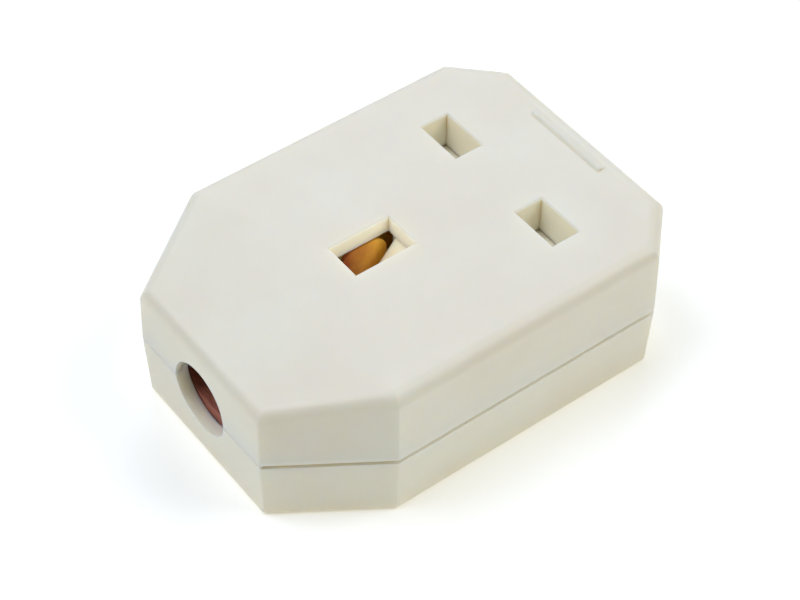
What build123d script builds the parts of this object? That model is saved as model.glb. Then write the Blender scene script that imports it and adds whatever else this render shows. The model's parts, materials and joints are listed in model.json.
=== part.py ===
from build123d import *
import os

# Trailing mains socket for one plug with three rectangular pins.
# Frame: origin under the middle of the case, +Z up through the socket face,
# +Y from the cable end to the far end, X across. Millimetres and degrees.

# Case, outside
body_length = 73.0
body_width = 52.8
body_height = 25.0
parting_height = 12.0
cable_end_width = 30.6
cable_chamfer_length = 16.7
far_end_width = 37.2
far_chamfer_length = 7.75
nose_drop = 2.8
cover_draft = 1.5
base_draft = 2.5
top_edge_radius = 2.4
bottom_edge_chamfer = 0.4
corner_radius = 0.6
groove_width = 0.8
groove_depth = 0.8
end_groove_width = 0.25
end_groove_depth = 0.3
pad_width = 16.0
pad_length = 4.7
pad_height = 0.45
pad_far_inset = 1.2
pad_far_drop = 0.7

# Case, inside
wall = 2.2
face_thickness = 3.0
floor_thickness = 1.6
lip_height = 1.2
lip_thickness = 1.0
lip_clearance = 0.1
rib_thickness = 1.2
contact_rib_height = 5.4
terminal_rib_height = 3.0
rib_clearance = 0.15

# Cable entry and cord clamp
cable_bore_radius = 6.2
cable_bore_overcut = 0.8
clamp_length = 27.4
clamp_width = 6.4
clamp_thickness = 2.2
clamp_corner = 1.5
clamp_gap = 0.35
clamp_screw_inset = 2.7
clamp_pillar_size = 6.0
clamp_pillar_height = 4.3
clamp_ridge_length = 11.0
clamp_ridge_width = 1.2
clamp_ridge_height = 2.4

# Plug pattern: pins and the apertures that take them
pin_pitch = 22.23
pin_thickness = 3.97
earth_pin_width = 7.92
live_inset = 17.9
live_aperture_width = 8.6
live_aperture_length = 5.0
live_aperture_spread = 0.45
live_aperture_shift = 0.3
earth_aperture_width = 6.6
earth_aperture_length = 10.9
earth_aperture_shift = -1.3
aperture_depth = 6.6
aperture_chamfer = 0.25
aperture_chamfer_angle = 45
collar_wall = 1.2

# Shutter, its spring and the plate that keeps it up
shutter_clearance = 0.2
guide_clearance = 0.25
blade_thickness = 1.5
blade_overlap = 0.3
blade_end_margin = 0.6
spine_width = 6.0
spine_setback = 0.6
cam_width = 3.7
cam_depth = 7.6
cam_pin_gap = 0.15
cam_tip_radius = 0.5
spring_length = 10.0
spring_diameter = 2.6
spring_wire = 0.4
spring_wire_sides = 5
spring_pitch = 2.7
spring_end_gap = 0.05
spring_peg_diameter = 1.6
spring_peg_length = 2.0
retainer_thickness = 1.4
retainer_margin = 0.3
retainer_window_margin = 0.3
retainer_tongue_width = 9.0
retainer_boss_diameter = 4.6
retainer_screw_x = 14.0
retainer_screw_offset = 6.8
retainer_post_x = 13.0
retainer_post_size = 4.0

# Contacts and pillar terminals
contact_thickness = 0.7
contact_seat_gap = 0.35
contact_grip = 0.235
contact_headroom = 0.3
earth_leaf_length = 8.2
earth_leaf_shift = -0.6
earth_leaf_corner = 2.2
earth_bridge_height = 6.4
earth_waist_height = 9.6
earth_mouth_half = 3.2
live_leaf_width = 6.4
live_seat_height = 4.4
live_waist_height = 8.4
live_mouth_half = 2.9
tab_width = 5.0
terminal_size = 7.0
terminal_height = 8.5
wire_hole_diameter = 3.4
wire_hole_height = 3.9
live_terminal_offset = 12.0
earth_terminal_gap = 0.5
spigot_size = 2.4
spigot_head_size = 3.6
spigot_head_height = 0.6

# Screws: shank diameter, shank length, head diameter, head height
terminal_screw = (3.5, 4.6, 5.0, 2.0)
clamp_screw = (2.9, 5.8, 5.4, 2.0)
case_screw = (3.5, 13.4, 6.0, 2.2)
retainer_screw = (1.9, 5.0, 3.8, 1.4)
screw_slot_width = 0.9
screw_slot_share = 0.45
thread_clearance = 0.05
shank_clearance = 0.25
terminal_screw_stand = 0.5

# Case screws with their inserts and captive washers
case_screw_inset = 6.4
cover_boss_diameter = 7.6
base_boss_diameter = 8.6
counterbore_depth = 4.0
head_clearance = 0.3
insert_diameter = 5.2
insert_sides = 6
insert_length = 6.0
washer_diameter = 6.4
washer_thickness = 0.8

# Choice of the case's corner edges
middle_share = 0.5
upright_share = 0.9

# Places that follow from the sizes above
half_length = body_length / 2
half_width = body_width / 2
half_pitch = pin_pitch / 2
live_y = half_length - live_inset
earth_y = live_y - pin_pitch
live_aperture_x = half_pitch + live_aperture_spread
live_aperture_y = live_y + live_aperture_shift
earth_aperture_y = earth_y + earth_aperture_shift
earth_leaf_y = earth_y + earth_leaf_shift
floor_z = floor_thickness
ceiling_z = body_height - face_thickness
collar_z = body_height - aperture_depth
blade_top_z = collar_z - shutter_clearance
blade_bottom_z = blade_top_z - blade_thickness
spine_top_z = ceiling_z - shutter_clearance
retainer_top_z = blade_bottom_z - shutter_clearance
retainer_bottom_z = retainer_top_z - retainer_thickness
live_contact_top_z = retainer_bottom_z - contact_headroom
earth_contact_top_z = ceiling_z - contact_headroom
fold_y = -half_length + cable_chamfer_length

shutter_travel = live_aperture_length + 2 * blade_overlap
blade_half_length = live_aperture_x + live_aperture_width / 2 + blade_end_margin
blade_near_y = live_aperture_y - live_aperture_length / 2 - blade_overlap
blade_far_y = live_aperture_y + live_aperture_length / 2 + blade_overlap
cam_top_y = earth_y + earth_pin_width / 2 + cam_pin_gap + cam_tip_radius
cam_tip_y = earth_y + earth_pin_width / 2 + cam_pin_gap - shutter_travel
spine_near_y = earth_aperture_y + earth_aperture_length / 2 + spine_setback
spring_z = (collar_z + spine_top_z) / 2
spring_far_y = blade_far_y + spring_length

retainer_half_width = blade_half_length + retainer_margin
retainer_screw_y = live_y - retainer_screw_offset
retainer_near_y = retainer_screw_y - retainer_boss_diameter / 2 - retainer_margin
retainer_post_y = blade_far_y + shutter_travel + retainer_post_size / 2 + retainer_margin
retainer_far_y = retainer_post_y + retainer_post_size / 2

contact_seat_half = pin_thickness / 2 + contact_seat_gap
contact_waist_half = pin_thickness / 2 - contact_grip
contact_outer_half = contact_seat_half + contact_thickness
earth_bridge_y = earth_leaf_y - earth_leaf_length / 2
earth_terminal_y = earth_bridge_y - contact_outer_half - earth_terminal_gap - terminal_size / 2
live_terminal_y = live_y - live_terminal_offset
terminal_z = floor_z + contact_thickness
terminal_places = [
    (-half_pitch, live_terminal_y),
    (half_pitch, live_terminal_y),
    (0, earth_terminal_y),
]

clamp_y = -half_length + wall + clamp_gap + clamp_width / 2
clamp_z = floor_z + clamp_pillar_height
clamp_screw_x = clamp_length / 2 - clamp_screw_inset
clamp_places = [(side * clamp_screw_x, clamp_y) for side in (-1, 1)]
case_screw_x = half_width - case_screw_inset
case_places = [(side * case_screw_x, earth_y) for side in (-1, 1)]
retainer_places = [(side * retainer_screw_x, retainer_screw_y) for side in (-1, 1)]
post_places = [(side * retainer_post_x, retainer_post_y) for side in (-1, 1)]
washer_recess = washer_thickness + thread_clearance


def outline(inset, z):
    """Octagonal plan of the case at the parting line, moved inwards by inset and lifted to z."""
    right = [
        (cable_end_width / 2, -half_length),
        (half_width, fold_y),
        (half_width, half_length - far_chamfer_length),
        (far_end_width / 2, half_length),
    ]
    left = [(-x, y) for x, y in reversed(right)]
    face = Polygon(*right, *left, align=None)
    if inset:
        face = offset(face, amount=-inset, kind=Kind.INTERSECTION)
    return Pos(0, 0, z) * face


def tube(diameter, low, high, places):
    """Upright cylinders between two heights, one at each place."""
    height = high - low
    rod = Cylinder(diameter / 2, height, align=(Align.CENTER, Align.CENTER, Align.MIN))
    return [Pos(x, y, low) * rod for x, y in places]


def hexagon(diameter, low, high, places):
    """Upright six-sided bars between two heights, measured over the corners."""
    bar = extrude(RegularPolygon(diameter / 2, insert_sides), amount=high - low)
    return [Pos(x, y, low) * bar for x, y in places]


def block(x_range, y_range, z_range):
    """Box between two limits on each axis."""
    sizes = [high - low for low, high in (x_range, y_range, z_range)]
    middle = [(high + low) / 2 for low, high in (x_range, y_range, z_range)]
    return Pos(*middle) * Box(*sizes)


def around(centre, size):
    """Limits of a length centred on a place."""
    return (centre - size / 2, centre + size / 2)


def strip(points):
    """Section of bent sheet: the line through points is one face, and the sheet lies on its right."""
    ends = [Vector(*point) for point in points]
    runs = [(b - a).normalized() for a, b in zip(ends, ends[1:])]
    sides = [Vector(run.Y, -run.X) for run in runs]
    joints = [sides[0]]
    for a, b in zip(sides, sides[1:]):
        joints.append((a + b) / (1 + a.dot(b)))
    joints.append(sides[-1])
    back = [end + joint * contact_thickness for end, joint in zip(ends, joints)]
    return Polygon(*[(p.X, p.Y) for p in ends + back[::-1]], align=None)


def screw(sizes):
    """Slotted screw standing on the origin: head above it, shank below."""
    shank_diameter, shank_length, head_diameter, head_height = sizes
    shank = Pos(0, 0, -shank_length / 2) * Cylinder(shank_diameter / 2, shank_length)
    head = Pos(0, 0, head_height / 2) * Cylinder(head_diameter / 2, head_height)
    slot_depth = head_height * screw_slot_share
    slot = block(
        around(0, head_diameter * 2),
        around(0, screw_slot_width),
        (head_height - slot_depth, head_height * 2),
    )
    return shank + head - slot


def cover_form(inset, top_z):
    """Upper half of the case as a solid: drafted sides, and a face that falls to the cable end."""
    form = extrude(outline(inset, parting_height), amount=top_z - parting_height, taper=cover_draft)
    reach = 2 * cable_chamfer_length
    above = body_height
    wedge = Plane.YZ * Polygon(
        (fold_y, top_z),
        (fold_y - reach, top_z - nose_drop * reach / cable_chamfer_length),
        (fold_y - reach, top_z + above),
        (fold_y, top_z + above),
        align=None,
    )
    return form - extrude(wedge, amount=body_width, both=True)


def base_form(inset, low_z):
    """Lower half of the case as a solid, with sides that lean in towards the underside."""
    return extrude(outline(inset, parting_height), amount=low_z - parting_height, taper=base_draft)


def joint_ring(width, depth):
    """What a groove takes off the base's top edge, all the way round."""
    low_z = parting_height - width
    return extrude(outline(-wall, low_z) - outline(depth, low_z), amount=width)


def upright(edge):
    """True for the corner edges between two sides of the case."""
    steepness = abs(edge.tangent_at(middle_share).Z)
    return steepness > upright_share


def cable_bore():
    """Round way for the cord through the cable end, centred on the parting line."""
    length = 2 * (wall + cable_bore_overcut)
    turned = Pos(0, -half_length, parting_height) * Rot(90, 0, 0)
    return turned * Cylinder(cable_bore_radius, length)


def thumb_pad():
    """Low wedge on the face by the far end: steep on the inside, and running out in the far rim."""
    near_y = half_length - pad_length
    far_y = half_length - pad_far_inset
    root_z = body_height - face_thickness / 2
    side = Plane.YZ * Polygon(
        (near_y, root_z),
        (near_y, body_height),
        (near_y + pad_height, body_height + pad_height),
        (far_y, body_height - pad_far_drop),
        (far_y, root_z),
        align=None,
    )
    return extrude(side, amount=pad_width / 2, both=True)


def aperture(x, y, width, length, low_z):
    """Way for a pin from below low_z up through the face, with a chamfered mouth."""
    mouth = Pos(x, y, body_height - aperture_chamfer) * Rectangle(width, length)
    return [
        block(around(x, width), around(y, length), (low_z - wall, 2 * body_height)),
        extrude(mouth, amount=2 * aperture_chamfer, taper=-aperture_chamfer_angle),
    ]


def make_top_cover():
    """Upper shell with the apertures, the shutter's guides and the bosses."""
    form = cover_form(0, body_height)
    rim = [
        edge
        for edge in form.edges()
        if edge.center().Z > body_height - nose_drop - wall
        and not (abs(edge.center().Y - fold_y) < wall and abs(edge.center().X) < wall)
    ]
    form = fillet(rim, top_edge_radius)
    form = fillet(form.edges().filter_by(upright), corner_radius)
    rebate = extrude(
        outline(wall - lip_thickness - lip_clearance, parting_height), amount=lip_height + lip_clearance
    )
    shell = form + thumb_pad() - cover_form(wall, ceiling_z) - rebate

    shell += [
        block(
            around(side * live_aperture_x, live_aperture_width + 2 * collar_wall),
            around(live_aperture_y, live_aperture_length + 2 * collar_wall),
            (collar_z, body_height - top_edge_radius),
        )
        for side in (-1, 1)
    ]
    rail_x = spine_width / 2 + guide_clearance + rib_thickness / 2
    shell += [
        block(
            around(side * rail_x, rib_thickness),
            (spine_near_y + shutter_travel / 2, blade_far_y),
            (collar_z, body_height - top_edge_radius),
        )
        for side in (-1, 1)
    ]
    shell += block(
        around(0, spine_width),
        (spring_far_y, spring_far_y + rib_thickness),
        (collar_z, body_height - top_edge_radius),
    )
    peg = Pos(0, spring_far_y - spring_peg_length / 2, spring_z) * Rot(90, 0, 0)
    shell += peg * Cylinder(spring_peg_diameter / 2, spring_peg_length)
    inside_top = body_height - top_edge_radius
    shell += tube(retainer_boss_diameter, retainer_top_z, inside_top, retainer_places)
    shell += [
        block(around(x, retainer_post_size), around(y, retainer_post_size), (retainer_top_z, inside_top))
        for x, y in post_places
    ]
    shell += tube(cover_boss_diameter, parting_height, inside_top, case_places)

    cuts = aperture(0, earth_aperture_y, earth_aperture_width, earth_aperture_length, ceiling_z)
    for side in (-1, 1):
        x = side * live_aperture_x
        cuts += aperture(x, live_aperture_y, live_aperture_width, live_aperture_length, collar_z)
    pilot_diameter, pilot_length = retainer_screw[:2]
    pilot_top = retainer_bottom_z + pilot_length + thread_clearance
    cuts += tube(pilot_diameter + 2 * thread_clearance, retainer_top_z, pilot_top, retainer_places)
    insert_top = parting_height + insert_length + thread_clearance
    cuts += hexagon(insert_diameter + 2 * thread_clearance, parting_height, insert_top, case_places)
    screw_top = counterbore_depth + case_screw[1] + shank_clearance
    cuts += tube(case_screw[0] + 2 * shank_clearance, parting_height, screw_top, case_places)
    cuts.append(cable_bore())
    return shell - cuts


def contact_pocket(x, y, half_width_x, half_width_y):
    """Ribs on the floor round three sides of a contact, open towards the cable end."""
    inner_x = half_width_x + rib_clearance
    far = y + half_width_y + rib_clearance
    height = (floor_z - floor_thickness / 2, floor_z + contact_rib_height)
    near = y - half_width_y / 2
    ribs = [
        block(around(x + side * (inner_x + rib_thickness / 2), rib_thickness), (near, far), height)
        for side in (-1, 1)
    ]
    back = block(around(x, 2 * (inner_x + rib_thickness)), (far, far + rib_thickness), height)
    return [*ribs, back]


def make_base():
    """Lower shell with the contacts' pockets, the screw bosses and the cord clamp's pillars."""
    form = base_form(0, 0)
    form = fillet(form.edges().filter_by(upright), corner_radius)
    form = chamfer(form.faces().sort_by(Axis.Z)[0].edges(), bottom_edge_chamfer)
    cable_end = block(
        around(0, cable_end_width), around(-half_length, 2 * groove_depth), (0, parting_height)
    )
    groove = joint_ring(groove_width, groove_depth) - cable_end
    end_groove = joint_ring(end_groove_width, end_groove_depth) & cable_end
    lip_ring = outline(wall - lip_thickness, parting_height) - outline(wall, parting_height)
    shell = form - groove - end_groove - base_form(wall, floor_z) + extrude(lip_ring, amount=lip_height)

    under = floor_z - floor_thickness / 2
    for side in (-1, 1):
        shell += contact_pocket(side * half_pitch, live_y, live_leaf_width / 2, contact_outer_half)
    shell += contact_pocket(0, earth_leaf_y, contact_outer_half, earth_leaf_length / 2)
    rib_x = terminal_size / 2 + rib_clearance + rib_thickness / 2
    shell += [
        block(
            around(x + side * rib_x, rib_thickness),
            around(y, terminal_size),
            (under, terminal_z + terminal_rib_height),
        )
        for x, y in terminal_places
        for side in (-1, 1)
    ]
    shell += [
        block(around(x, clamp_pillar_size), around(y, clamp_pillar_size), (under, clamp_z))
        for x, y in clamp_places
    ]
    ridge_y = clamp_width / 2 - clamp_ridge_width
    shell += [
        block(
            around(0, clamp_ridge_length),
            around(clamp_y + side * ridge_y, clamp_ridge_width),
            (under, floor_z + clamp_ridge_height),
        )
        for side in (-1, 1)
    ]
    shell += tube(base_boss_diameter, under, parting_height, case_places)

    shank_diameter, shank_length, head_diameter, head_height = case_screw
    cuts = tube(head_diameter + 2 * head_clearance, -wall, counterbore_depth, case_places)
    cuts += tube(shank_diameter + 2 * shank_clearance, counterbore_depth, parting_height, case_places)
    washer_hole = washer_diameter + 2 * thread_clearance
    cuts += tube(washer_hole, parting_height - washer_recess, parting_height, case_places)
    pilot_low = clamp_z + clamp_thickness - clamp_screw[1] - thread_clearance
    cuts += tube(clamp_screw[0] + 2 * thread_clearance, pilot_low, clamp_z, clamp_places)
    hollow = spigot_head_size + 2 * shank_clearance
    hollow_level = (floor_z - spigot_head_height - thread_clearance, floor_z)
    cuts += [block(around(x, hollow), around(y, hollow), hollow_level) for x, y in terminal_places]
    cuts.append(cable_bore())
    return shell - cuts


def make_shutter():
    """White sliding shutter: cam under the earth aperture, spine, and a blade under the other two."""
    cam_bottom_z = spine_top_z - cam_depth
    heel_z = cam_bottom_z + cam_tip_radius
    profile = Polygon(
        (spine_near_y + rib_thickness, spine_top_z),
        (cam_top_y, spine_top_z),
        (cam_tip_y, heel_z),
        (cam_tip_y + 2 * cam_tip_radius, cam_bottom_z),
        (spine_near_y + rib_thickness, blade_bottom_z),
        align=None,
    )
    profile = fillet(profile.vertices().group_by(Axis.X)[0], cam_tip_radius)
    cam = extrude(Plane.YZ * profile, amount=cam_width / 2, both=True)
    spine = block(around(0, spine_width), (spine_near_y, blade_far_y), (blade_bottom_z, spine_top_z))
    blade = block(
        around(0, 2 * blade_half_length), (blade_near_y, blade_far_y), (blade_bottom_z, blade_top_z)
    )
    peg = Pos(0, blade_far_y + spring_peg_length / 2, spring_z) * Rot(90, 0, 0)
    peg = peg * Cylinder(spring_peg_diameter / 2, spring_peg_length)
    return cam + spine + blade + peg


def make_shutter_spring():
    """Compression spring between the shutter's spine and the cover's rib."""
    height = spring_length - spring_wire - 2 * spring_end_gap
    coil = Helix(pitch=spring_pitch, height=height, radius=spring_diameter / 2)
    section = Plane(origin=coil @ 0, z_dir=coil % 0) * RegularPolygon(spring_wire / 2, spring_wire_sides)
    spring = sweep(section, path=coil)
    start = blade_far_y + spring_end_gap + spring_wire / 2
    return Pos(0, start, spring_z) * Rot(-90, 0, 0) * spring


def make_shutter_retainer():
    """Plate under the shutter: a forked tongue below the spine, and a window for each live pin."""
    level = (retainer_bottom_z, retainer_top_z)
    plate = block(around(0, 2 * retainer_half_width), (retainer_near_y, retainer_far_y), level)
    plate += block(around(0, retainer_tongue_width), (spine_near_y + rib_thickness, retainer_near_y), level)
    windows = [
        block(
            around(side * live_aperture_x, live_aperture_width + 2 * retainer_window_margin),
            around(live_aperture_y, live_aperture_length + 2 * retainer_window_margin),
            (retainer_bottom_z - wall, retainer_top_z + wall),
        )
        for side in (-1, 1)
    ]
    cam_slot = block(
        around(0, cam_width + 2 * guide_clearance),
        (spine_near_y, spine_near_y + rib_thickness + shutter_travel + guide_clearance),
        (retainer_bottom_z - wall, retainer_top_z + wall),
    )
    hole = retainer_screw[0] + 2 * thread_clearance
    holes = tube(hole, retainer_bottom_z, retainer_top_z, retainer_places)
    return plate - windows - cam_slot - holes


def spigot_hole(x, y):
    """Square way for a terminal's spigot through its contact's strip."""
    size = spigot_size + 2 * thread_clearance
    return block(around(x, size), around(y, size), (floor_z, terminal_z))


def make_live_contact(x):
    """Folded contact for a line or neutral pin: two sprung leaves on a strip that runs to the terminal."""
    seat_z = floor_z + live_seat_height
    waist_z = floor_z + live_waist_height
    leaf = strip(
        [
            (0, floor_z + contact_thickness),
            (contact_seat_half, floor_z + contact_thickness),
            (contact_seat_half, seat_z),
            (contact_waist_half, waist_z),
            (live_mouth_half, live_contact_top_z),
        ]
    )
    leaves = extrude(Plane.YZ * leaf, amount=live_leaf_width / 2, both=True)
    leaves += mirror(leaves, about=Plane.XZ)
    tab_far = live_terminal_y - live_y - terminal_size / 2
    tab = block(
        around(0, tab_width), (tab_far, -contact_seat_half), (floor_z, floor_z + contact_thickness)
    )
    return Pos(x, live_y, 0) * (leaves + tab) - spigot_hole(x, live_terminal_y)


def make_earth_contact():
    """Contact for the earth pin: two flared leaves joined by a bend at the cable end of the pin."""
    bridge_z = floor_z + earth_bridge_height
    leaf = strip(
        [
            (contact_seat_half, floor_z),
            (contact_seat_half, bridge_z),
            (contact_waist_half, floor_z + earth_waist_height),
            (earth_mouth_half, earth_contact_top_z),
        ]
    )
    leaf = Pos(0, earth_leaf_y, 0) * extrude(Plane.XZ * leaf, amount=earth_leaf_length / 2, both=True)
    corners = [
        edge
        for edge in leaf.edges()
        if edge.length < 2 * contact_thickness and edge.center().Z > earth_contact_top_z - contact_thickness
    ]
    leaf = fillet(corners, earth_leaf_corner)
    leaves = leaf + mirror(leaf, about=Plane.YZ)
    ring = Circle(contact_outer_half) - Circle(contact_seat_half)
    ring -= Pos(0, contact_outer_half) * Rectangle(4 * contact_outer_half, 2 * contact_outer_half)
    bridge = Pos(0, earth_bridge_y, floor_z) * extrude(ring, amount=earth_bridge_height)
    tab_near = earth_bridge_y - contact_seat_half - contact_thickness / 2
    tab = block(
        around(0, tab_width),
        (earth_terminal_y - terminal_size / 2, tab_near),
        (floor_z, floor_z + contact_thickness),
    )
    return leaves + bridge + tab - spigot_hole(0, earth_terminal_y)


def make_terminal(x, y):
    """Pillar terminal staked on its strip: a way for the wire along Y and a tapped hole from the top."""
    side = around(0, terminal_size)
    body = block(side, side, (0, terminal_height))
    spigot_side = around(0, spigot_size)
    body += block(spigot_side, spigot_side, (-contact_thickness, 0))
    head_side = around(0, spigot_head_size)
    body += block(head_side, head_side, (-contact_thickness - spigot_head_height, -contact_thickness))
    wire = Pos(0, 0, wire_hole_height) * Rot(90, 0, 0) * Cylinder(wire_hole_diameter / 2, 2 * terminal_size)
    tapped = tube(terminal_screw[0] + 2 * thread_clearance, wire_hole_height, terminal_height, [(0, 0)])
    return Pos(x, y, terminal_z) * (body - wire - tapped)


def make_cord_clamp():
    """Fibre bar across the cord, with a hole at each end."""
    bar = block(
        around(0, clamp_length), around(clamp_y, clamp_width), (clamp_z, clamp_z + clamp_thickness)
    )
    bar = chamfer(bar.edges().filter_by(Axis.Z), clamp_corner)
    hole = clamp_screw[0] + 2 * shank_clearance
    return bar - tube(hole, clamp_z, clamp_z + clamp_thickness, clamp_places)


def make_insert():
    """Six-sided brass insert with a plain hole for the case screw."""
    body = hexagon(insert_diameter, 0, insert_length, [(0, 0)])[0]
    hole = tube(case_screw[0] + 2 * thread_clearance, 0, insert_length, [(0, 0)])
    return body - hole


def make_washer():
    """Captive washer in the top of a base boss."""
    body = Cylinder(washer_diameter / 2, washer_thickness, align=(Align.CENTER, Align.CENTER, Align.MIN))
    return body - tube(case_screw[0] + 2 * thread_clearance, 0, washer_thickness, [(0, 0)])


def group(piece, places, z):
    """Copies of one piece as separate solids."""
    return Compound(children=[Pos(x, y, z) * piece for x, y in places])


upside_down = Rot(180, 0, 0)
nodes = {
    "top_cover": make_top_cover(),
    "base": make_base(),
    "shutter": make_shutter(),
    "shutter_spring": make_shutter_spring(),
    "shutter_retainer": make_shutter_retainer(),
    "retainer_screws": group(upside_down * screw(retainer_screw), retainer_places, retainer_bottom_z),
    "line_contact": make_live_contact(-half_pitch),
    "neutral_contact": make_live_contact(half_pitch),
    "earth_contact": make_earth_contact(),
    "line_terminal": make_terminal(-half_pitch, live_terminal_y),
    "neutral_terminal": make_terminal(half_pitch, live_terminal_y),
    "earth_terminal": make_terminal(0, earth_terminal_y),
    "terminal_screws": group(
        screw(terminal_screw), terminal_places, terminal_z + terminal_height + terminal_screw_stand
    ),
    "cord_clamp": make_cord_clamp(),
    "cord_clamp_screws": group(screw(clamp_screw), clamp_places, clamp_z + clamp_thickness),
    "case_screws": group(upside_down * screw(case_screw), case_places, counterbore_depth),
    "case_inserts": group(make_insert(), case_places, parting_height),
    "case_screw_washers": group(make_washer(), case_places, parting_height - washer_recess),
}

os.makedirs("parts", exist_ok=True)
for name, shape in nodes.items():
    export_step(shape, f"parts/{name}.step")
    print(name, round(shape.volume, 2))
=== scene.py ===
import json
import math

import bpy
import numpy as np
from mathutils import Matrix, Vector


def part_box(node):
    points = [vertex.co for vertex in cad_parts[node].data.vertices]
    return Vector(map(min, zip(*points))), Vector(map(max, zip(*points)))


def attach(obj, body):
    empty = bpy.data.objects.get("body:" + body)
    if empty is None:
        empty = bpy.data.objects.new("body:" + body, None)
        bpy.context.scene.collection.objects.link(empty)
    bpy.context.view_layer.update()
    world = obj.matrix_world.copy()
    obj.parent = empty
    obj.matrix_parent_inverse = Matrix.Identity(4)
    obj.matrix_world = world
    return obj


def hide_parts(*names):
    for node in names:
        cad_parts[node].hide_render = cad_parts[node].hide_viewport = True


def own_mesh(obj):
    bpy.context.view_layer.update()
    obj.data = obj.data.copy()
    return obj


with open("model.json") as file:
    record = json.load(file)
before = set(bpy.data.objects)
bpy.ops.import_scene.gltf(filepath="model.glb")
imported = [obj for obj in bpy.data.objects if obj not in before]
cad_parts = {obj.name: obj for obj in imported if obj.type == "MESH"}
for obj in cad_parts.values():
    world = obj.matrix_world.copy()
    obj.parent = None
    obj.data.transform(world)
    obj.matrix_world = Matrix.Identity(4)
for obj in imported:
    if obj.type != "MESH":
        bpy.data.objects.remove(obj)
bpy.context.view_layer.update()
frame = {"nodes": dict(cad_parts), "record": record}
cadNodes = frame["nodes"]
mm = 0.001
print("frame loaded with", len(cadNodes), "nodes")


# sRGB hex to linear light: a straight line near black, a 2.4 power above it
def linearColour(hexText):
    share = np.array([int(hexText[i:i + 2], 16) for i in (1, 3, 5)]) / 255
    light = np.where(share <= 0.04045, share / 12.92, ((share + 0.055) / 1.055) ** 2.4)
    return (*light.tolist(), 1.0)


# One node: its own settings, the values of its sockets, and the outputs that feed them
def addNode(tree, kind, settings=None, values=None, links=None):
    node = tree.nodes.new(kind)
    for name, value in (settings or {}).items():
        setattr(node, name, value)
    for name, value in (values or {}).items():
        node.inputs[name].default_value = value
    for name, output in (links or {}).items():
        tree.links.new(output, node.inputs[name])
    return node


# A noise texture's scale for features of a size in millimetres, on coordinates in metres
def perMetre(size):
    return 1 / (size * mm)


def newMaterial(name):
    material = bpy.data.materials.new(name)
    material.use_nodes = True
    tree = material.node_tree
    tree.nodes.clear()
    return material, tree


# Moulded urea resin: a warm white with a satin skin from a fine-blasted mould. Light goes about two
# millimetres into it, which keeps corners and hole walls pale. It has a slight grain, and its tone drifts a
# little over centimetres where the resin flowed. Grooves and inside corners are painted tan as painted
# shade.
caseLook = {
    "pale": "#f8f0db",
    "deep": "#f4ebd5",
    "toneStops": (0.35, 0.65),
    "lightDepth": 2.0,
    "depthTint": (1.0, 0.9, 0.7),
    "ior": 1.55,
    "roughness": (0.40, 0.52),
    "drift": (16.0, 3.0),  # each pattern: size in millimetres, then levels of detail
    "grain": (0.45, 2.0),  # the real grain is near 0.1 mm, drawn coarser so that it shows
    "wave": (5.0, 1.0),
    "grainHeight": 0.012,
    "waveHeight": 0.02,
    "paintedCreaseShade": "#c8b285",
    "paintedShadeReach": 0.8,
    "paintedShadeRays": 8,
    "paintedShadeFrom": (0.25, 0.65),  # all painted shade where less than the first share is open, none above the second
    "paintedShadeStart": (-36.2, -35.6),  # no painted shade before the first place along the case, all of it after the second
}


def mouldedUrea(name, look):
    material, tree = newMaterial(name)
    place = addNode(tree, "ShaderNodeTexCoord").outputs["Object"]
    patterns = {}
    for key in ("drift", "grain", "wave"):
        size, detail = look[key]
        patterns[key] = addNode(tree, "ShaderNodeTexNoise",
                                values={"Scale": perMetre(size), "Detail": detail},
                                links={"Vector": place}).outputs["Fac"]
    tone = addNode(tree, "ShaderNodeValToRGB", links={"Fac": patterns["drift"]})
    shades = (look["deep"], look["pale"])
    for stop, position, shade in zip(tone.color_ramp.elements, look["toneStops"], shades):
        stop.position = position
        stop.color = linearColour(shade)
    # Painted shade: grooves and inside corners are coloured tan by how enclosed they are
    shelter = addNode(tree, "ShaderNodeAmbientOcclusion", {"samples": look["paintedShadeRays"]},
                      {"Distance": look["paintedShadeReach"] * mm})
    paintedShadeShare = addNode(tree, "ShaderNodeMapRange",
                      values={"From Min": look["paintedShadeFrom"][0], "From Max": look["paintedShadeFrom"][1],
                              "To Min": 1.0, "To Max": 0.0},
                      links={"Value": shelter.outputs["AO"]}).outputs["Result"]
    # The painted shade fades out at the cable end of the case
    lengthwise = addNode(tree, "ShaderNodeSeparateXYZ", links={"Vector": place}).outputs["Y"]
    awayFromCableEnd = addNode(tree, "ShaderNodeMapRange",
                      values={"From Min": look["paintedShadeStart"][0] * mm, "From Max": look["paintedShadeStart"][1] * mm},
                      links={"Value": lengthwise}).outputs["Result"]
    share = addNode(tree, "ShaderNodeMath", {"operation": "MULTIPLY"},
                    links={0: paintedShadeShare, 1: awayFromCableEnd}).outputs["Value"]
    paintedShadeTone = addNode(tree, "ShaderNodeMix", {"data_type": "RGBA"}, {"B": linearColour(look["paintedCreaseShade"])},
                    {"Factor": share, "A": tone.outputs["Color"]})
    satin = addNode(tree, "ShaderNodeMapRange",
                    values={"To Min": look["roughness"][0], "To Max": look["roughness"][1]},
                    links={"Value": patterns["grain"]})
    ripple = addNode(tree, "ShaderNodeBump", values={"Strength": 1.0, "Distance": look["waveHeight"] * mm},
                     links={"Height": patterns["wave"]})
    skin = addNode(tree, "ShaderNodeBump", values={"Strength": 1.0, "Distance": look["grainHeight"] * mm},
                   links={"Height": patterns["grain"], "Normal": ripple.outputs["Normal"]})
    shader = addNode(tree, "ShaderNodeBsdfPrincipled",
                     values={"IOR": look["ior"], "Subsurface Weight": 1.0,
                             "Subsurface Radius": look["depthTint"],
                             "Subsurface Scale": look["lightDepth"] * mm},
                     links={"Base Color": paintedShadeTone.outputs["Result"], "Roughness": satin.outputs["Result"],
                            "Normal": skin.outputs["Normal"]})
    addNode(tree, "ShaderNodeOutputMaterial", links={"Surface": shader.outputs["BSDF"]})
    return material


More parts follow.
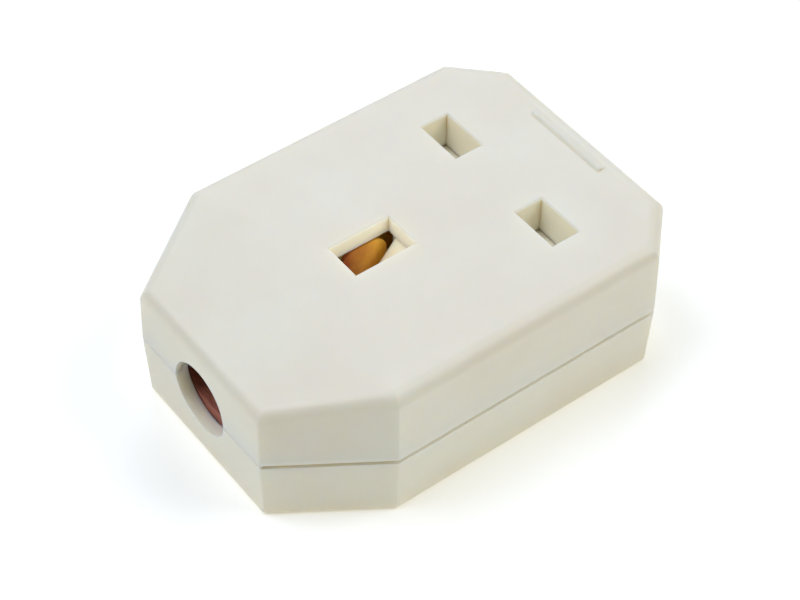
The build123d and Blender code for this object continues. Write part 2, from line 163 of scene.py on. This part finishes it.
# Moulded nylon: creamier and smoother than the case, with a soft sheen
shutterLook = dict(caseLook, pale="#f6ecd0", deep="#f2e5c4", roughness=(0.32, 0.4), grainHeight=0.006)


# Rolled brass strip: yellow metal with fine lines along its length. It goes brown in stains, and it is
# painted browner towards the cable end as painted shade, leaving the far end bright as a painted highlight.
brassLook = {
    "clean": "#f4bd4c",
    "tarnish": "#ad5f33",
    "toneStops": (0.3, 0.8),
    "metal": 0.5,  # the tarnish film hides most of the metal's mirror
    "roughness": (0.3, 0.5),
    "lines": (0.25, 2.0),  # rolling lines are finer, drawn this wide so that they show
    "lineStretch": 14.0,
    "lineHeight": 0.004,
    "stain": (4.0, 4.0),
    "stainShare": 0.6,
    "lengthShadeFrom": (-8.5, -1.5),  # most painted shade before the first place along the case, none after the second
    "lengthShadeShare": 0.6,
}


def rolledMetal(name, look):
    material, tree = newMaterial(name)
    place = addNode(tree, "ShaderNodeTexCoord").outputs["Object"]
    along = addNode(tree, "ShaderNodeMapping", values={"Scale": (1.0, 1.0, 1 / look["lineStretch"])},
                    links={"Vector": place}).outputs["Vector"]
    patterns = {}
    for key, direction in (("lines", along), ("stain", place)):
        size, detail = look[key]
        patterns[key] = addNode(tree, "ShaderNodeTexNoise",
                                values={"Scale": perMetre(size), "Detail": detail},
                                links={"Vector": direction}).outputs["Fac"]
    lengthwise = addNode(tree, "ShaderNodeSeparateXYZ", links={"Vector": place}).outputs["Y"]
    # Painted shade along the case: browner towards the cable end, the far end left bright as a painted
    # highlight
    lengthShade = addNode(tree, "ShaderNodeMapRange",
                   values={"From Min": look["lengthShadeFrom"][0] * mm, "From Max": look["lengthShadeFrom"][1] * mm,
                           "To Min": look["lengthShadeShare"], "To Max": 0.0},
                   links={"Value": lengthwise}).outputs["Result"]
    stainAndShade = addNode(tree, "ShaderNodeMath", {"operation": "MULTIPLY_ADD"}, {1: look["stainShare"]},
                  {0: patterns["stain"], 2: lengthShade}).outputs["Value"]
    tone = addNode(tree, "ShaderNodeValToRGB", links={"Fac": stainAndShade})
    shades = (look["clean"], look["tarnish"])
    for stop, position, shade in zip(tone.color_ramp.elements, look["toneStops"], shades):
        stop.position = position
        stop.color = linearColour(shade)
    satin = addNode(tree, "ShaderNodeMapRange",
                    values={"To Min": look["roughness"][0], "To Max": look["roughness"][1]},
                    links={"Value": stainAndShade})
    skin = addNode(tree, "ShaderNodeBump", values={"Strength": 1.0, "Distance": look["lineHeight"] * mm},
                   links={"Height": patterns["lines"]})
    shader = addNode(tree, "ShaderNodeBsdfPrincipled", values={"Metallic": look["metal"]},
                     links={"Base Color": tone.outputs["Color"], "Roughness": satin.outputs["Result"],
                            "Normal": skin.outputs["Normal"]})
    addNode(tree, "ShaderNodeOutputMaterial", links={"Surface": shader.outputs["BSDF"]})
    return material


# Zinc-plated steel: a pale blue-grey metal with a fine spangle, the same all along the case
zincLook = dict(brassLook, clean="#c9cbcc", tarnish="#a5a6a4", metal=1.0, roughness=(0.28, 0.4),
                lineStretch=1.0, stain=(1.2, 4.0), stainShare=1.0, lengthShadeShare=0.0)


# Vulcanised fibre: pressed cotton board, dull maroon, with short fibres showing in its face
fibreLook = {
    "pale": "#bd735c",
    "deep": "#985241",
    "toneStops": (0.35, 0.65),
    "ior": 1.5,
    "roughness": (0.55, 0.75),
    "fibres": (0.2, 3.0),
    "fibreStretch": 8.0,
    "fibreHeight": 0.02,
}


def pressedFibre(name, look):
    material, tree = newMaterial(name)
    place = addNode(tree, "ShaderNodeTexCoord").outputs["Object"]
    along = addNode(tree, "ShaderNodeMapping", values={"Scale": (1 / look["fibreStretch"], 1.0, 1.0)},
                    links={"Vector": place}).outputs["Vector"]
    size, detail = look["fibres"]
    fibres = addNode(tree, "ShaderNodeTexNoise", values={"Scale": perMetre(size), "Detail": detail},
                     links={"Vector": along}).outputs["Fac"]
    tone = addNode(tree, "ShaderNodeValToRGB", links={"Fac": fibres})
    shades = (look["deep"], look["pale"])
    for stop, position, shade in zip(tone.color_ramp.elements, look["toneStops"], shades):
        stop.position = position
        stop.color = linearColour(shade)
    dull = addNode(tree, "ShaderNodeMapRange",
                   values={"To Min": look["roughness"][0], "To Max": look["roughness"][1]},
                   links={"Value": fibres})
    skin = addNode(tree, "ShaderNodeBump", values={"Strength": 1.0, "Distance": look["fibreHeight"] * mm},
                   links={"Height": fibres})
    shader = addNode(tree, "ShaderNodeBsdfPrincipled", values={"IOR": look["ior"]},
                     links={"Base Color": tone.outputs["Color"], "Roughness": dull.outputs["Result"],
                            "Normal": skin.outputs["Normal"]})
    addNode(tree, "ShaderNodeOutputMaterial", links={"Surface": shader.outputs["BSDF"]})
    return material


finishes = {
    "case": mouldedUrea("mouldedUrea", caseLook),
    "shutter": mouldedUrea("mouldedNylon", shutterLook),
    "brass": rolledMetal("rolledBrass", brassLook),
    "steel": rolledMetal("zincPlatedSteel", zincLook),
    "fibre": pressedFibre("vulcanisedFibre", fibreLook),
}
print("finishes made:", len(finishes))

# CAD nodes take the finish of their slot, and smooth shading that keeps every edge over sharpAngle
nodeShading = {"sharpAngle": 32.0, "weldDistance": 0.001, "faceWeight": 100}


def dressNode(node, finish):
    mesh = node.data
    mesh.materials.clear()
    mesh.materials.append(finish)
    mesh.polygons.foreach_set("use_smooth", np.ones(len(mesh.polygons), bool))
    weld = node.modifiers.new("joinedCorners", "WELD")
    weld.merge_threshold = nodeShading["weldDistance"] * mm
    split = node.modifiers.new("keptEdges", "EDGE_SPLIT")
    split.split_angle = math.radians(nodeShading["sharpAngle"])
    normals = node.modifiers.new("flatFaces", "WEIGHTED_NORMAL")
    normals.weight = nodeShading["faceWeight"]
    normals.keep_sharp = True


for subpart in frame["record"]["subparts"]:
    dressNode(cadNodes[subpart["node"]], finishes[subpart["material_slot"]])

# Return spring of the shutter: round wire with close coils at both ends and open ones between them
springLook = {
    "wire": 0.4,
    "turns": 7.5,
    "closeTurns": 1.25,  # at each end
    "stepsPerTurn": 48,
    "wireSides": 14,
    "kept": 0.44,  # share of its length that is left at the shutter's far limit
}


# A tube round a coil. With t counting turns, the wire's centre is at angle 2 pi t and at the coil's radius
# from the axis, and it moves along the axis by one wire a turn in the close coils and evenly through the
# rest. Each ring of the tube has one direction that points out from the axis, and one along the axis.
def makeSpring(look, box):
    low, high = (np.array(corner) for corner in box)
    wire = look["wire"] * mm
    middle = (low + high) / 2
    coilRadius = (high[0] - low[0]) / 2 - wire / 2
    turns = np.linspace(0, look["turns"], int(look["turns"] * look["stepsPerTurn"]) + 1)
    closeLength = look["closeTurns"] * wire
    start = low[1] + wire / 2
    end = high[1] - wire / 2
    along = np.interp(turns, [0, look["closeTurns"], look["turns"] - look["closeTurns"], look["turns"]],
                      [start, start + closeLength, end - closeLength, end])
    angle = 2 * np.pi * turns
    outward = np.column_stack([np.cos(angle), np.zeros_like(angle), np.sin(angle)])
    centre = np.column_stack([np.full_like(along, middle[0]), along, np.full_like(along, middle[2])])
    centre = centre + outward * coilRadius
    section = np.linspace(0, 2 * np.pi, look["wireSides"], endpoint=False)
    axis = np.array([0.0, 1.0, 0.0])
    rings = (centre[:, None, :] + wire / 2 * (np.cos(section)[None, :, None] * outward[:, None, :]
                                              + np.sin(section)[None, :, None] * axis))
    count, sides = len(turns), look["wireSides"]
    first = np.arange(count - 1)[:, None] * sides
    here = np.arange(sides)[None, :]
    after = (here + 1) % sides
    faces = np.stack([first + here, first + after, first + sides + after, first + sides + here], axis=-1)
    ends = [list(range(sides - 1, -1, -1)), list(range((count - 1) * sides, count * sides))]
    mesh = bpy.data.meshes.new("returnSpring")
    mesh.from_pydata(rings.reshape(-1, 3).tolist(), [], faces.reshape(-1, 4).tolist() + ends)
    mesh.polygons.foreach_set("use_smooth", np.arange(len(mesh.polygons)) < len(mesh.polygons) - 2)
    spring = bpy.data.objects.new("returnSpring", mesh)
    bpy.context.scene.collection.objects.link(spring)
    mesh.materials.append(finishes["steel"])
    return spring


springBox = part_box("shutter_spring")
returnSpring = makeSpring(springLook, springBox)
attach(returnSpring, "housing")
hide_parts("shutter_spring")
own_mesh(returnSpring)
print("spring wound:", springLook["turns"], "turns")


# Plain pale table of cast white acrylic, matt and lit a little from below: its size and drop are in metres
floorLook = {
    "size": 6.0,
    "drop": 0.0002,
    "colour": "#f7f7f6",
    "roughness": 0.9,
    "glow": 0.34,
    "glowColour": (1.0, 1.0, 0.84, 1.0),
}


# A flat square: corner signs times half the size, at one height
def makeFloor(look):
    half = look["size"] / 2
    corners = np.array([(-1, -1), (1, -1), (1, 1), (-1, 1)]) * half
    points = np.column_stack([corners, np.full(4, -look["drop"])])
    mesh = bpy.data.meshes.new("studioFloor")
    mesh.from_pydata(points.tolist(), [], [(0, 1, 2, 3)])
    floor = bpy.data.objects.new("studioFloor", mesh)
    bpy.context.scene.collection.objects.link(floor)
    material, tree = newMaterial("castAcrylic")
    shader = addNode(tree, "ShaderNodeBsdfPrincipled",
                     values={"Base Color": linearColour(look["colour"]), "Roughness": look["roughness"],
                             "Specular IOR Level": 0.0, "Emission Color": look["glowColour"],
                             "Emission Strength": look["glow"]})
    addNode(tree, "ShaderNodeOutputMaterial", links={"Surface": shader.outputs["BSDF"]})
    mesh.materials.append(material)
    return floor


makeFloor(floorLook)

# Soft studio lights: each one's place and size in metres, its power in watts and its colour
lightTable = {
    "backLeft": {"place": (-0.55, 0.42, 0.75), "size": 0.5, "power": 2.1, "colour": (0.87, 0.97, 1.24)},
    "backRight": {"place": (0.40, 0.55, 0.75), "size": 0.6, "power": 4.2, "colour": (0.97, 0.98, 1.02)},
    "frontLeft": {"place": (-0.45, -0.50, 0.74), "size": 0.6, "power": 1.3, "colour": (0.97, 0.98, 1.06)},
    "steepFront": {"place": (-0.22, -0.33, 0.92), "size": 0.5, "power": 4.0, "colour": (0.89, 0.975, 1.18)},
}
skyLight = {"colour": (1.0, 1.0, 1.0, 1.0), "strength": 0.02}


def aimedAt(position, target):
    return (Vector(position) - Vector(target)).to_track_quat("Z", "Y").to_matrix().to_4x4()


for name, setting in lightTable.items():
    lamp = bpy.data.lights.new(name, "AREA")
    lamp.shape = "SQUARE"
    lamp.size = setting["size"]
    lamp.energy = setting["power"]
    lamp.color = setting["colour"]
    holder = bpy.data.objects.new(name, lamp)
    holder.matrix_world = Matrix.Translation(setting["place"]) @ aimedAt(setting["place"], (0, 0, 0))
    bpy.context.scene.collection.objects.link(holder)

# Light that soaks through the resin and fills the apertures: a soft panel in each mouth that faces down, as
# wide as the opening and just under the face. Power is in watts, height in metres.
soakedLook = {
    "power": {"earth_aperture": 0.00023, "line_aperture": 0.000045, "neutral_aperture": 0.000045},
    "colour": (0.92, 1.0, 1.0),
    "height": 0.0249,
}
for opening in frame["record"]["physics"]["openings"]:
    low, high = (Vector(corner) for corner in opening["box_m"])
    lamp = bpy.data.lights.new(opening["name"], "AREA")
    lamp.shape = "RECTANGLE"
    lamp.size = high.x - low.x
    lamp.size_y = high.y - low.y
    lamp.energy = soakedLook["power"][opening["name"]]
    lamp.color = soakedLook["colour"]
    holder = bpy.data.objects.new(opening["name"], lamp)
    holder.location = ((low.x + high.x) / 2, (low.y + high.y) / 2, soakedLook["height"])
    holder.visible_camera = False
    bpy.context.scene.collection.objects.link(holder)

world = bpy.data.worlds.new("studio")
world.use_nodes = True
world.node_tree.nodes.clear()
sky = addNode(world.node_tree, "ShaderNodeBackground",
              values={"Color": skyLight["colour"], "Strength": skyLight["strength"]})
addNode(world.node_tree, "ShaderNodeOutputWorld", links={"Surface": sky.outputs["Background"]})
bpy.context.scene.world = world
bpy.context.scene.view_settings.view_transform = "Standard"
print("floor and lights placed:", len(lightTable), "lights")

# Camera at the photograph's angle: degrees, metres, and the picture's focal length in pixels
cameraView = {
    "azimuth": 52.174,
    "elevation": 47.719,
    "roll": 0.906,
    "distance": 0.34244,
    "aim": (0.0, 0.0, 0.010),
    "slide": (-0.000286, 0.000147),
    "focalPixels": 2233.281,
    "pictureWidth": 800,
    "sensorWidth": 36.0,
    "nearest": 0.01,
}


def makeCamera(view):
    azimuth, elevation, roll = (math.radians(view[key]) for key in ("azimuth", "elevation", "roll"))
    back = Vector((math.sin(azimuth) * math.cos(elevation), -math.cos(azimuth) * math.cos(elevation),
                   math.sin(elevation)))
    level = Vector((math.cos(azimuth), math.sin(azimuth), 0))
    upward = back.cross(level)
    right = math.cos(roll) * level + math.sin(roll) * upward
    up = -math.sin(roll) * level + math.cos(roll) * upward
    spot = Vector(view["aim"]) + back * view["distance"] - right * view["slide"][0] - up * view["slide"][1]
    lens = bpy.data.cameras.new("productCamera")
    lens.sensor_width = view["sensorWidth"]
    lens.lens = view["focalPixels"] / view["pictureWidth"] * view["sensorWidth"]
    lens.clip_start = view["nearest"]
    camera = bpy.data.objects.new("productCamera", lens)
    turn = Matrix((right, up, back)).transposed().to_4x4()
    camera.matrix_world = Matrix.Translation(spot) @ turn
    bpy.context.scene.collection.objects.link(camera)
    return camera


bpy.context.scene.camera = makeCamera(cameraView)
print("camera placed")
